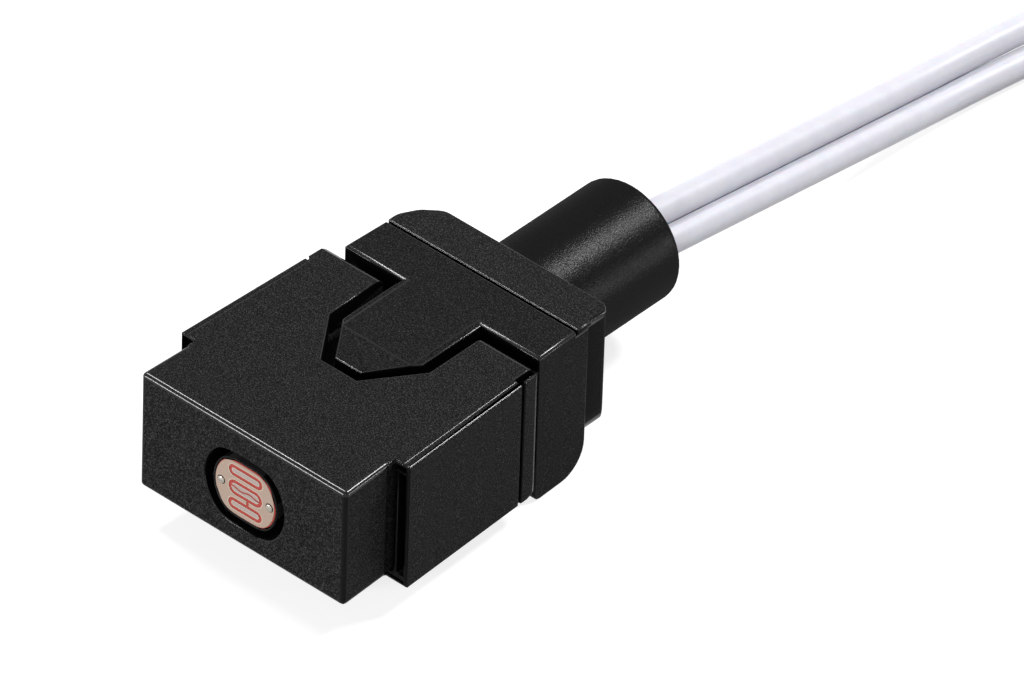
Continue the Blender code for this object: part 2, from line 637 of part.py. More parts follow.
def rounded(corners):
    """An outline through (first, second, radius) corners, each with an arc of its radius."""
    points = []
    count = len(corners)
    for i, (x, y, radius) in enumerate(corners):
        corner = Vector((x, y))
        if radius == 0:
            points.append((x, y))
            continue
        back = (Vector(corners[i - 1][:2]) - corner).normalized()
        ahead = (Vector(corners[(i + 1) % count][:2]) - corner).normalized()
        half = back.angle(ahead) / 2
        centre = corner + (back + ahead).normalized() * radius / math.sin(half)
        start = corner + back * radius / math.tan(half) - centre
        end = corner + ahead * radius / math.tan(half) - centre
        steps = max(3, round(radius / 0.0004))
        turn = start.angle_signed(end)
        for k in range(steps + 1):
            spin = -turn * k / steps
            x_k = start.x * math.cos(spin) - start.y * math.sin(spin)
            y_k = start.x * math.sin(spin) + start.y * math.cos(spin)
            points.append((centre.x + x_k, centre.y + y_k))
    return points


def rear_cover(finish):
    """The plate that closes the collar, with a round right edge, a cut left corner and a lip over the top."""
    flush = COLLAR_WIDTH / 2 - DRAFT * COLLAR_LENGTH
    half = flush - COVER_INSET
    front_y = COVER_Y - COVER_LIP_LENGTH
    face = rounded([(-flush, COVER_RISE, COVER_LOWER_RADIUS), (half, COVER_RISE, COVER_LOWER_RADIUS),
                    (half, TOP_Z, COVER_TOP_RADIUS), (-flush, TOP_Z, COLLAR_EDGE)])
    cover = place("rear_cover", prism(face, "Y", COVER_Y, COVER_REAR_Y), finish)
    lip = block((-flush, flush), (front_y, COVER_Y + COVER_INSET), (TOP_Z - COVER_LIP_THICKNESS, TOP_Z))
    join(cover, lip, "lip")

    middle_x, middle_y = COVER_CUT_MIDDLE
    plan = rounded([(-2 * flush, front_y - SEAT_GAP, 0), (2 * flush, front_y - SEAT_GAP, 0),
                    (2 * flush, COVER_Y + COVER_INSET, 0), (half, COVER_Y + COVER_INSET, 0),
                    (half, COVER_REAR_Y, COVER_CORNER), (COVER_CUT_END - flush, COVER_REAR_Y, COVER_CUT_END_RADIUS),
                    (middle_x - flush, COVER_REAR_Y - middle_y, COVER_CUT_RADIUS),
                    (-flush, COVER_REAR_Y - COVER_CUT_START, COVER_CUT_RADIUS),
                    (-flush, COVER_Y - COVER_LIP_LENGTH / 2, 0)])
    shape_with(cover, prism(plan, "Z", 0, TOP_Z + SEAT_GAP), "INTERSECT", "plan")
    heel = outside_arc(COVER_REAR_Y, COVER_RISE, COVER_HEEL, 1)
    cut(cover, prism(heel, "X", -2 * flush, 2 * flush), "heel")
    hole = disc(0, COVER_Y - SEAT_GAP, COVER_REAR_Y + SEAT_GAP, SLEEVE_Z,
                SLEEVE_NECK_DIAMETER / 2 + SEAT_GAP, 40)
    cut(cover, hole, "sleeve_hole")


def cable_sleeve():
    """The soft sleeve: an inner head and a groove that hold it in the cover, and two bores for the wires."""
    radius, edge = SLEEVE_DIAMETER / 2, SLEEVE_EDGE
    neck, head = SLEEVE_NECK_DIAMETER / 2, SLEEVE_HEAD_DIAMETER / 2
    foot = radius + SLEEVE_FOOT
    head_rear = COVER_Y - SEAT_GAP
    rounding = [(SLEEVE_END_Y - edge + edge * math.sin(turn), radius - edge + edge * math.cos(turn))
                for turn in (math.pi / 2 * i / 4 for i in range(5))]
    profile = [(SLEEVE_END_Y, 0)] + rounding[::-1]
    profile += [(SLEEVE_Y + 4 * SLEEVE_FOOT, radius), (SLEEVE_Y + 2 * SLEEVE_FOOT, foot), (SLEEVE_Y, foot),
                (SLEEVE_Y, neck), (head_rear, neck), (head_rear, head),
                (head_rear - SLEEVE_HEAD_LENGTH, head), (head_rear - SLEEVE_HEAD_LENGTH, 0)]
    sleeve = place("cable_sleeve", turned(profile[::-1], 0, SLEEVE_Z, 48),
                   material("sleeve_rubber", (0.028, 0.028, 0.030, 1), 0.5))
    for side, sign in SIDES:
        bore = swept(inner_route(sign, head_rear - 2 * SLEEVE_HEAD_LENGTH, SLEEVE_END_Y + WIRE_DIAMETER),
                     WIRE_DIAMETER / 2 + WIRE_CLEARANCE, 16)
        cut(sleeve, bore, f"{side}_wire_bore")


def inner_route(sign, start_y, end_y, count=14):
    """A wire's centre line inside the sleeve: along its axis, then bending down to the exit's slope."""
    tilt = WIRE_SPACING / 2 * math.sqrt(0.5)
    points = []
    for i in range(count):
        y = start_y + (end_y - start_y) * i / (count - 1)
        past = max(0.0, y - (SLEEVE_END_Y - EXIT_BEND))
        if y < SLEEVE_END_Y:
            drop = EXIT_SLOPE * past ** 2 / (2 * EXIT_BEND)
        else:
            drop = EXIT_SLOPE * (past - EXIT_BEND / 2)
        points.append(Vector((sign * tilt, y, SLEEVE_Z - drop - sign * tilt)))
    return points


def joints_inside():
    """Each photocell lead is crimped to a wire's conductor, with an insulating tube over the splice."""
    brass = material("crimp_brass", (0.60, 0.45, 0.22, 1), 0.35, 1.0)
    shrink = material("insulating_tube", (0.020, 0.020, 0.022, 1), 0.45)
    copper = material("conductor_copper", (0.70, 0.36, 0.20, 1), 0.35, 1.0)
    insulation = material("wire_insulation", (0.80, 0.80, 0.86, 1), 0.45)
    splice_end = SPLICE_Y + SPLICE_LENGTH
    wire_y = splice_end + SEAT_GAP
    for side, sign in SIDES:
        x = sign * POST_SPACING / 2
        bore, shell = SPLICE_BORE_DIAMETER / 2, SPLICE_DIAMETER / 2
        place(f"{side}_splice", turned([(SPLICE_Y, bore), (SPLICE_Y, shell), (splice_end, shell),
                                        (splice_end, bore)], x, CELL_Z, 20), brass)
        inner = shell + 2 * FINE_GAP
        start, end = SPLICE_Y - TUBE_OVERLAP, splice_end + TUBE_OVERLAP
        place(f"{side}_insulating_tube", turned([(start, inner), (start, inner + TUBE_WALL),
                                                 (end, inner + TUBE_WALL), (end, inner)], x, CELL_Z, 20), shrink)
        conductor_y = SPLICE_Y + SPLICE_LENGTH / 2
        place(f"{side}_conductor", disc(x, conductor_y, wire_y - 2 * FINE_GAP, CELL_Z, CORE_DIAMETER / 2, 16),
              copper)
        bend_y = wire_y + 2 * TUBE_OVERLAP
        knots = [Vector((x, wire_y, CELL_Z)), Vector((x, (wire_y + bend_y) / 2, CELL_Z)),
                 Vector((x, bend_y, CELL_Z))]
        knots += inner_route(sign, COVER_Y - 2 * SLEEVE_HEAD_LENGTH + SLEEVE_HEAD_LENGTH / 2,
                             SLEEVE_END_Y - SEAT_GAP / 2, 9)
        tube(f"{side}_inner_wire", smooth_line(knots, WIRE_DIAMETER), WIRE_DIAMETER, insulation)


def lead_turn(sign, sweep):
    """A wire's part of the flat turn, clockwise from where the straight stretch meets it."""
    radius = TURN_RADIUS - sign * TURN_SPACING / 2
    steps = round(sweep / math.radians(22.5))
    points = []
    for i in range(steps + 1):
        angle = math.pi - TURN_HEADING - sweep * i / steps
        points.append(Vector(TURN_CENTRE) + radius * Vector((math.cos(angle), math.sin(angle), 0)))
    return points


def lead():
    """The two wires outside the sleeve, each ending in a stripped and tinned conductor."""
    insulation = material("wire_insulation", (0.80, 0.80, 0.86, 1), 0.45)
    tin = material("tinned_copper", (0.62, 0.60, 0.57, 1), 0.25, 1.0)
    for (side, sign), route, sweep in zip(SIDES, (LEFT_ROUTE, RIGHT_ROUTE), TURN_SWEEPS):
        turn = lead_turn(sign, sweep)
        knots = [Vector(point) for point in route] + turn
        tube(f"{side}_wire", smooth_line(knots, 1.5 * WIRE_DIAMETER), WIRE_DIAMETER, insulation)
        radius = (turn[-1] - Vector(TURN_CENTRE)).length
        stripped = []
        for i in range(6):
            angle = math.pi - TURN_HEADING - sweep - (SEAT_GAP + BARE_END * i / 5) / radius
            stripped.append(Vector(TURN_CENTRE) + radius * Vector((math.cos(angle), math.sin(angle), 0)))
        place(f"{side}_tinned_end", swept(stripped, CORE_DIAMETER / 2, 16), tin)


def clear_scene():
    for thing in list(bpy.data.objects):
        bpy.data.objects.remove(thing, do_unlink=True)


def main():
    clear_scene()
    housing = material("housing_plastic", (0.030, 0.030, 0.032, 1), 0.62)
    photocell()
    head_housing(housing)
    rear_body(housing)
    rear_cover(housing)
    cable_sleeve()
    joints_inside()
    lead()


main()
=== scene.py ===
"""Looks of the ambient light sensor: a photocell in a black moulded head, on a two-wire lead."""

import math

import bmesh
import bpy
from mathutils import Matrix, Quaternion, Vector
from mathutils.bvhtree import BVHTree


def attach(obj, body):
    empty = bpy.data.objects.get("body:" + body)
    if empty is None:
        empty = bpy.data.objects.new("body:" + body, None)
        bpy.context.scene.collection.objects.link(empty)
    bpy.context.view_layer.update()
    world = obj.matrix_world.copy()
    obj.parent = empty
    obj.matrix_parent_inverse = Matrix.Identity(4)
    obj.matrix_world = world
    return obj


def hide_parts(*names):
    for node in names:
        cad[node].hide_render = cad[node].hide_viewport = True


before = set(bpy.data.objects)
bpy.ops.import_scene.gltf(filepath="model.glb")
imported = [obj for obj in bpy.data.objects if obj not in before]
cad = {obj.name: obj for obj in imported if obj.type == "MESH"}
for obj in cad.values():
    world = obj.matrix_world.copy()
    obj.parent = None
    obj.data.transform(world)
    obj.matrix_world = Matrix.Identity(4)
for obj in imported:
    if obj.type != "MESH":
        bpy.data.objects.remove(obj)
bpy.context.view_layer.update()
scene = bpy.context.scene
scene.view_settings.view_transform = "Standard"

# Camera
# A long lens, as for a product shot: it looks down on the head's front corner.
CAMERA_AZIMUTH = math.radians(40.95)
CAMERA_ELEVATION = math.radians(38.57)
CAMERA_ROLL = math.radians(1.95)
CAMERA_PLACE = (0.491499, -0.559408, 0.602479)
CAMERA_LENS = 529.8

lens = bpy.data.cameras.new("camera")
lens.lens = CAMERA_LENS
lens.sensor_width = 36
lens.clip_start = 0.05
lens.clip_end = 20
camera = bpy.data.objects.new("camera", lens)
scene.collection.objects.link(camera)
backwards = Vector((
    math.sin(CAMERA_AZIMUTH) * math.cos(CAMERA_ELEVATION),
    -math.cos(CAMERA_AZIMUTH) * math.cos(CAMERA_ELEVATION),
    math.sin(CAMERA_ELEVATION),
))
camera.location = CAMERA_PLACE
camera.rotation_mode = "QUATERNION"
camera.rotation_quaternion = backwards.to_track_quat("Z", "Y") @ Quaternion((0, 0, 1), CAMERA_ROLL)
scene.camera = camera


# Table and studio light
# The sensor lies on a white table that keeps a faint shadow, in a white room. Lamps high and low behind it,
# high on its left and low in front draw bright lines on its rounded edges, and a fill lamp lifts its sides.
TABLE_SIZE = 4.0
TABLE_GAP = 0.00002
TABLE_GLOW = 0.80
ROOM_LIGHT = 0.18


def new_material(name):
    """A material with its node tree and its Principled shader."""
    made = bpy.data.materials.new(name)
    made.use_nodes = True
    tree = made.node_tree
    return made, tree, tree.nodes["Principled BSDF"]


def where_white(tree):
    """One where the camera, a mirror or clear glass looks at the surroundings, else zero."""
    path = tree.nodes.new("ShaderNodeLightPath")
    value = path.outputs["Is Camera Ray"]
    for ray in ("Is Glossy Ray", "Is Transmission Ray"):
        either = tree.nodes.new("ShaderNodeMath")
        either.operation = "MAXIMUM"
        tree.links.new(value, either.inputs[0])
        tree.links.new(path.outputs[ray], either.inputs[1])
        value = either.outputs[0]
    return value


def white_table():
    made, tree, shader = new_material("white_table")
    shader.inputs["Base Color"].default_value = (0.35, 0.35, 0.35, 1)
    shader.inputs["Roughness"].default_value = 0.8
    shader.inputs["Specular IOR Level"].default_value = 0.0
    shader.inputs["Emission Color"].default_value = (1, 1, 1, 1)
    glow = tree.nodes.new("ShaderNodeMath")
    glow.operation = "MULTIPLY"
    glow.inputs[1].default_value = TABLE_GLOW
    tree.links.new(where_white(tree), glow.inputs[0])
    tree.links.new(glow.outputs[0], shader.inputs["Emission Strength"])
    return made


half_table = TABLE_SIZE / 2
table_mesh = bpy.data.meshes.new("table")
table_mesh.from_pydata(
    [(-half_table, -half_table, -TABLE_GAP), (half_table, -half_table, -TABLE_GAP),
     (half_table, half_table, -TABLE_GAP), (-half_table, half_table, -TABLE_GAP)],
    [], [(0, 1, 2, 3)],
)
table_mesh.materials.append(white_table())
table = bpy.data.objects.new("table", table_mesh)
scene.collection.objects.link(table)

room = bpy.data.worlds.new("white_room")
room.use_nodes = True
scene.world = room
background = room.node_tree.nodes["Background"]
background.inputs["Color"].default_value = (1, 1, 1, 1)
strength = room.node_tree.nodes.new("ShaderNodeMapRange")
strength.inputs["To Min"].default_value = ROOM_LIGHT
strength.inputs["To Max"].default_value = 1.0
room.node_tree.links.new(where_white(room.node_tree), strength.inputs["Value"])
room.node_tree.links.new(strength.outputs["Result"], background.inputs["Strength"])


def soft_lamp(name, azimuth, elevation, distance, size, power):
    """A soft lamp that faces the sensor from an angle round it."""
    data = bpy.data.lights.new(name, "AREA")
    data.shape = "RECTANGLE"
    data.size, data.size_y = size
    data.energy = power
    made = bpy.data.objects.new(name, data)
    turn, lift = math.radians(azimuth), math.radians(elevation)
    away = Vector((math.sin(turn) * math.cos(lift), -math.cos(turn) * math.cos(lift), math.sin(lift)))
    made.location = away * distance
    made.rotation_mode = "QUATERNION"
    made.rotation_quaternion = away.to_track_quat("Z", "Y")
    scene.collection.objects.link(made)


soft_lamp("high_rear_lamp", 157, 50, 0.60, (0.10, 0.10), 2.9)
soft_lamp("high_left_lamp", -96, 59, 0.60, (0.09, 0.09), 2.0)
soft_lamp("low_rear_lamp", 126, 5, 0.80, (0.14, 0.07), 1.1)
soft_lamp("low_front_lamp", -31, 10, 0.80, (0.30, 0.16), 6.0)
soft_lamp("fill_lamp", 32, 22, 0.90, (0.14, 0.14), 1.3)


# Lead
# Two tinned stranded wires in white extruded insulation, laid side by side. They leave the sleeve
# together, drop to the table and lie round in part of a flat turn, with stripped and tinned ends.
WIRE_DIAMETER = 0.0019
SKIN = 0.00005
LEFT_ROUTE = (
    (-0.0007, 0.0186, 0.00676), (-0.0007, 0.0243, 0.00595), (-0.0007, 0.0303, 0.00509),
    (-0.0007, 0.0363, 0.00423), (-0.0007, 0.0423, 0.00338), (-0.0007, 0.0473, 0.00268),
    (-0.0004, 0.0517, 0.00243), (0.0003, 0.0571, 0.00237), (0.0007, 0.0611, 0.00178),
    (0.0011, 0.0648, 0.00120),
)
RIGHT_ROUTE = (
    (0.0007, 0.0186, 0.00535), (0.0007, 0.0243, 0.00454), (0.0007, 0.0303, 0.00368),
    (0.0007, 0.0363, 0.00282), (0.0007, 0.0423, 0.00196), (0.0007, 0.0473, 0.00127),
    (0.0010, 0.0515, 0.00101), (0.0018, 0.0569, 0.00099), (0.0026, 0.0608, 0.00099),
    (0.0032, 0.0645, 0.00099),
)
TURN_CENTRE = Vector((0.01356, 0.0669, 0.00099))
TURN_RADIUS = 0.0110
TURN_SPACING = 0.0022
TURN_HEADING = math.radians(7.8)
TURN_STEP = math.radians(22.5)
STRIP_GAP = 0.0003
BARE_END = 0.0055
STRAND_RADIUS = 0.0001


def turn_point(side, angle):
    """A point of a wire's flat turn, at an angle from where the straight stretch meets it."""
    radius = TURN_RADIUS - side * TURN_SPACING / 2
    heading = math.pi - TURN_HEADING - angle
    return TURN_CENTRE + radius * Vector((math.cos(heading), math.sin(heading), 0))


def smooth_line(knots, parts):
    """Points on a smooth curve through the knots, with a number of parts between each two."""
    line = []
    last = len(knots) - 1
    for i in range(last):
        a, b, c, d = (knots[max(0, min(last, i + k))] for k in (-1, 0, 1, 2))
        for k in range(parts):
            t = k / parts
            line.append(0.5 * (2 * b + (c - a) * t + (2 * a - 5 * b + 4 * c - d) * t * t
                               + (3 * b - a - 3 * c + d) * t ** 3))
    return line + [knots[-1]]


def path_curve(name, line):
    """A curve object along a line of points."""
    curve = bpy.data.curves.new(name, "CURVE")
    curve.dimensions = "3D"
    spline = curve.splines.new("POLY")
    spline.points.add(len(line) - 1)
    for target, point in zip(spline.points, line):
        target.co = (*point, 1)
    made = bpy.data.objects.new(name, curve)
    scene.collection.objects.link(made)
    return made


def noise(tree, scale, detail=3.0, roughness=0.6, stretch=(1, 1, 1)):
    """Noise in the piece's own coordinates."""
    place = tree.nodes.new("ShaderNodeTexCoord")
    scaled = tree.nodes.new("ShaderNodeMapping")
    scaled.inputs["Scale"].default_value = stretch
    tree.links.new(place.outputs["Object"], scaled.inputs["Vector"])
    made = tree.nodes.new("ShaderNodeTexNoise")
    made.inputs["Scale"].default_value = scale
    made.inputs["Detail"].default_value = detail
    made.inputs["Roughness"].default_value = roughness
    tree.links.new(scaled.outputs["Vector"], made.inputs["Vector"])
    return made.outputs["Fac"]


def tinted(tree, shader, source, stops):
    """Base colour from a value, through (position, colour) stops."""
    ramp = tree.nodes.new("ShaderNodeValToRGB")
    stop = ramp.color_ramp.elements
    for i, (position, colour) in enumerate(stops):
        step = stop[i] if i < 2 else stop.new(position)
        step.position = position
        step.color = (*colour, 1)
    tree.links.new(source, ramp.inputs["Fac"])
    tree.links.new(ramp.outputs["Color"], shader.inputs["Base Color"])


def varied(tree, shader, socket, source, low, high):
    """A shader value that follows a source from low to high."""
    span = tree.nodes.new("ShaderNodeMapRange")
    span.inputs["To Min"].default_value = low
    span.inputs["To Max"].default_value = high
    tree.links.new(source, span.inputs["Value"])
    tree.links.new(span.outputs["Result"], shader.inputs[socket])


def bumped(tree, shader, source, strength, depth, socket="Normal"):
    """A fine relief that follows a source."""
    bump = tree.nodes.new("ShaderNodeBump")
    bump.inputs["Strength"].default_value = strength
    bump.inputs["Distance"].default_value = depth
    tree.links.new(source, bump.inputs["Height"])
    tree.links.new(bump.outputs["Normal"], shader.inputs[socket])


def white_insulation():
    made, tree, shader = new_material("white_insulation")
    shader.inputs["Subsurface Weight"].default_value = 0.2
    shader.inputs["Subsurface Scale"].default_value = 0.0005
    shader.inputs["Specular IOR Level"].default_value = 0.3
    flow = noise(tree, 900)
    tinted(tree, shader, flow, ((0.3, (0.56, 0.56, 0.62)), (0.7, (0.60, 0.60, 0.655))))
    varied(tree, shader, "Roughness", flow, 0.34, 0.46)
    bumped(tree, shader, flow, 0.10, 0.00003)
    return made


def tinned_copper():
    made, tree, shader = new_material("tinned_copper")
    shader.inputs["Metallic"].default_value = 1.0
    frost = noise(tree, 5200, 4)
    tinted(tree, shader, frost, ((0.35, (0.29, 0.265, 0.23)), (0.70, (0.42, 0.39, 0.345))))
    varied(tree, shader, "Roughness", frost, 0.16, 0.34)
    bumped(tree, shader, frost, 0.3, 0.00002)
    return made


def strand_bundle():
    """Geometry Nodes that sweep a twisted bundle of 1, 6 and 12 strands along a curve."""
    group = bpy.data.node_groups.new("strand_bundle", "GeometryNodeTree")
    face = group.interface
    face.new_socket("Path", in_out="INPUT", socket_type="NodeSocketGeometry")
    face.new_socket("Strand Radius", in_out="INPUT", socket_type="NodeSocketFloat")
    face.new_socket("Twist", in_out="INPUT", socket_type="NodeSocketFloat")
    face.new_socket("Rings", in_out="INPUT", socket_type="NodeSocketInt")
    face.new_socket("Finish", in_out="INPUT", socket_type="NodeSocketMaterial")
    face.new_socket("Geometry", in_out="OUTPUT", socket_type="NodeSocketGeometry")
    nodes, links = group.nodes, group.links
    given = nodes.new("NodeGroupInput")
    result = nodes.new("NodeGroupOutput")

    circle = nodes.new("GeometryNodeCurvePrimitiveCircle")
    circle.inputs["Resolution"].default_value = 10
    links.new(given.outputs["Strand Radius"], circle.inputs["Radius"])
    joined = nodes.new("GeometryNodeJoinGeometry")
    links.new(circle.outputs["Curve"], joined.inputs["Geometry"])
    for count, reach in ((6, 2.0), (12, 3.9)):
        spread = nodes.new("ShaderNodeMath")
        spread.operation = "MULTIPLY"
        spread.inputs[1].default_value = reach
        links.new(given.outputs["Strand Radius"], spread.inputs[0])
        ring = nodes.new("GeometryNodeMeshCircle")
        ring.inputs["Vertices"].default_value = count
        links.new(spread.outputs[0], ring.inputs["Radius"])
        copies = nodes.new("GeometryNodeInstanceOnPoints")
        links.new(ring.outputs["Mesh"], copies.inputs["Points"])
        links.new(circle.outputs["Curve"], copies.inputs["Instance"])
        links.new(copies.outputs["Instances"], joined.inputs["Geometry"])
    profile = nodes.new("GeometryNodeRealizeInstances")
    links.new(joined.outputs["Geometry"], profile.inputs["Geometry"])

    path = nodes.new("GeometryNodeResampleCurve")
    links.new(given.outputs["Path"], path.inputs["Curve"])
    links.new(given.outputs["Rings"], path.inputs["Count"])
    along = nodes.new("GeometryNodeSplineParameter")
    lay = nodes.new("ShaderNodeMath")
    lay.operation = "MULTIPLY"
    links.new(along.outputs["Factor"], lay.inputs[0])
    links.new(given.outputs["Twist"], lay.inputs[1])
    twisted = nodes.new("GeometryNodeSetCurveTilt")
    links.new(path.outputs["Curve"], twisted.inputs["Curve"])
    links.new(lay.outputs[0], twisted.inputs["Tilt"])
    swept = nodes.new("GeometryNodeCurveToMesh")
    swept.inputs["Fill Caps"].default_value = True
    links.new(twisted.outputs["Curve"], swept.inputs["Curve"])
    links.new(profile.outputs["Geometry"], swept.inputs["Profile Curve"])
    finished = nodes.new("GeometryNodeSetMaterial")
    links.new(swept.outputs["Mesh"], finished.inputs["Geometry"])
    links.new(given.outputs["Finish"], finished.inputs["Material"])
    links.new(finished.outputs["Geometry"], result.inputs["Geometry"])
    return group


def stranded(name, line, twist, finish, node):
    """A bundle of twisted strands along a line, as a plain mesh in place of a node."""
    path = path_curve(f"{name}_path", line)
    layout = path.modifiers.new("strands", "NODES")
    layout.node_group = bundle
    values = {"Strand Radius": STRAND_RADIUS, "Twist": twist, "Rings": 60, "Finish": finish}
    for socket in bundle.interface.items_tree:
        if socket.name in values:
            layout[socket.identifier] = values[socket.name]
    path.update_tag()
    evaluated = path.evaluated_get(bpy.context.evaluated_depsgraph_get())
    mesh = bpy.data.meshes.new_from_object(evaluated)
    bpy.data.objects.remove(path)
    mesh.shade_smooth()
    mesh.set_sharp_from_angle(angle=math.radians(50))
    made = bpy.data.objects.new(name, mesh)
    scene.collection.objects.link(made)
    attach(made, "root")
    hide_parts(node)
    return made


bundle = strand_bundle()
insulation = white_insulation()
tin = tinned_copper()
SIDES = (("left", -1, LEFT_ROUTE, math.radians(225)), ("right", 1, RIGHT_ROUTE, math.radians(270)))
for side_name, side, route, sweep in SIDES:
    steps = round(sweep / TURN_STEP)
    knots = [Vector(point) for point in route]
    knots += [turn_point(side, sweep * i / steps) for i in range(steps + 1)]
    line = smooth_line(knots, 3)
    wire = path_curve(f"{side_name}_wire_insulation", line)
    wire.data.bevel_depth = WIRE_DIAMETER / 2 + SKIN
    wire.data.bevel_resolution = 7
    wire.data.use_fill_caps = True
    for end in (0, -1):
        wire.data.splines[0].points[end].radius = 0.94
    wire.data.materials.append(insulation)
    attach(wire, "root")
    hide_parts(f"{side_name}_wire")

    radius = TURN_RADIUS - side * TURN_SPACING / 2
    bare = [turn_point(side, sweep + (STRIP_GAP + BARE_END * i / 8) / radius) for i in range(9)]
    stranded(f"{side_name}_tinned_strands", bare, 2.6, tin, f"{side_name}_tinned_end")


# Housing
# Head, rear body and rear cover are injection moulded in black glass-filled plastic. The mould's faces have
# a fine spark-eroded grain and its edges are smoother. Walls that face each other in a gap get painted shade.
FACE, EDGE, PAINTED_SHADE_GAP_WALL, LOWER_EDGE, PAINTED_SHADE_COVER_SIDE = range(5)
EDGE_BREAK = 0.00010
WIDE_BREAK = 0.00032
RIM_BREAK = 0.00003
CREST_WIDTH = 0.00006
BREAK_SEGMENTS = 3
FLAT_ANGLE = math.radians(1.0)
CREST_ANGLE = math.radians(2)
SHARP_ANGLE = math.radians(32)
WIDE_ANGLE = 0.5
SLANT = 0.97
ROUNDING_WIDTH = 0.0003
DULL_SLOPE = 0.1
NEAR = 1e-5
FINE = 1e-6
FRONT_Y = -0.018285
WING_Y = -0.013585
RECESS_Y = -0.015985
HEAD_Z = 0.00265
TOP_Z = 0.01165
NOSE_HALF = 0.00875
DRAFT = 0.042
FOOT_ROUND = 0.00045
FOOT_HEIGHT = 0.00056
NOSE_ROUND = 0.00010
FOOT_DROP = 0.00010
CELL_X = 0.0002
CELL_Z = 0.00685
RECESS_RADIUS = 0.00336
RECESS_FLAT = 0.00284
RECESS_LIP = 0.00007
RECESS_WALL = (0.0034, 0.0036)
RECESS_CORNER = math.asin(0.00305 / 0.00345)
SOFT_CORNER = math.radians(75)
SOFT_POWER = 14
GROOVE_Y = -0.014225
GROOVE_FLOOR = 0.008393
GROOVE_INSET = 0.00015
TONGUE_ROOT_Y = 0.0005
TONGUE_HALF = 0.0035
TONGUE_FALL = 0.0002
NECK_END_Y = -0.0002
NECK_HEIGHT = (HEAD_Z + 0.001, TOP_Z - 0.0015)
GRAIN_SCALE = 12000
GAP_REACH = 0.0010
GAP_START = 0.00002


def black_plastic(name, dark, light):
    """A mould-grained face: dark, with a light speck here and there."""
    made, tree, shader = new_material(name)
    shader.inputs["Specular IOR Level"].default_value = 0.02
    grain = noise(tree, GRAIN_SCALE, 1.0, 0.5)
    tinted(tree, shader, grain, ((0.38, (dark, dark, dark)), (0.58, (light, light, light * 1.05)),
                                 (0.72, (3 * light, 3 * light, 3 * light))))
    varied(tree, shader, "Roughness", grain, 0.40, 0.62)
    bumped(tree, shader, grain, 0.6, 0.00003)
    return made


def edge_plastic(name, gloss):
    """A broken edge, smoother than the faces."""
    made, tree, shader = new_material(name)
    shader.inputs["Specular IOR Level"].default_value = gloss
    grain = noise(tree, 1.5 * GRAIN_SCALE, 1.0, 0.5)
    tinted(tree, shader, grain, ((0.40, (0.002, 0.002, 0.002)), (0.70, (0.010, 0.010, 0.011))))
    varied(tree, shader, "Roughness", grain, 0.12, 0.20)
    bumped(tree, shader, grain, 0.1, 0.00003)
    return made


def painted_gap_shade_plastic():
    """Painted shade: a darker copy of the plastic for a wall deep in a gap, which little light reaches."""
    made, tree, shader = new_material("painted_gap_shade_plastic")
    shader.inputs["Specular IOR Level"].default_value = 0.02
    shader.inputs["Roughness"].default_value = 0.8
    grain = noise(tree, GRAIN_SCALE, 1.0, 0.5)
    tinted(tree, shader, grain, ((0.40, (0.0005, 0.0005, 0.0005)), (0.70, (0.002, 0.002, 0.002))))
    return made


def surfaces(nodes):
    """One search tree over the surfaces of several nodes."""
    points, faces = [], []
    for node in nodes:
        mesh = cad[node].data
        start = len(points)
        points += [vert.co.copy() for vert in mesh.vertices]
        faces += [[start + i for i in polygon.vertices] for polygon in mesh.polygons]
    return BVHTree.FromPolygons(points, faces)


def is_rounding(face):
    """A narrow slanting face is part of an edge's rounding."""
    slants = max(abs(part) for part in face.normal) < SLANT
    return slants and min(edge.calc_length() for edge in face.edges) < ROUNDING_WIDTH


def width_at(edge, widths, plain):
    """The rounding's width that an edge has in its place."""
    for is_there, width in widths:
        if all(is_there(vert.co) for vert in edge.verts):
            return width
    return plain


def with_broken_edges(piece):
    """The piece's mesh with its edges rounded.

    Roundings that look down or sideways are duller than the rest.
    """
    bevel = piece.modifiers.new("broken_edges", "BEVEL")
    bevel.width = WIDE_BREAK
    bevel.segments = BREAK_SEGMENTS
    bevel.limit_method = "WEIGHT"
    bevel.use_clamp_overlap = False
    bevel.miter_outer = "MITER_ARC"
    if len(piece.data.materials) > 1:
        bevel.material = EDGE
    evaluated = piece.evaluated_get(bpy.context.evaluated_depsgraph_get())
    mesh = bpy.data.meshes.new_from_object(evaluated)
    piece.modifiers.remove(bevel)
    for polygon in mesh.polygons:
        if polygon.material_index == EDGE and polygon.normal.z < DULL_SLOPE:
            polygon.material_index = LOWER_EDGE
    return mesh


def cut(shape, planes):
    """Cuts a shape's faces along planes, each a point and a direction."""
    for point, direction in planes:
        bmesh.ops.bisect_plane(shape, geom=shape.verts[:] + shape.edges[:] + shape.faces[:],
                               plane_co=point, plane_no=direction)


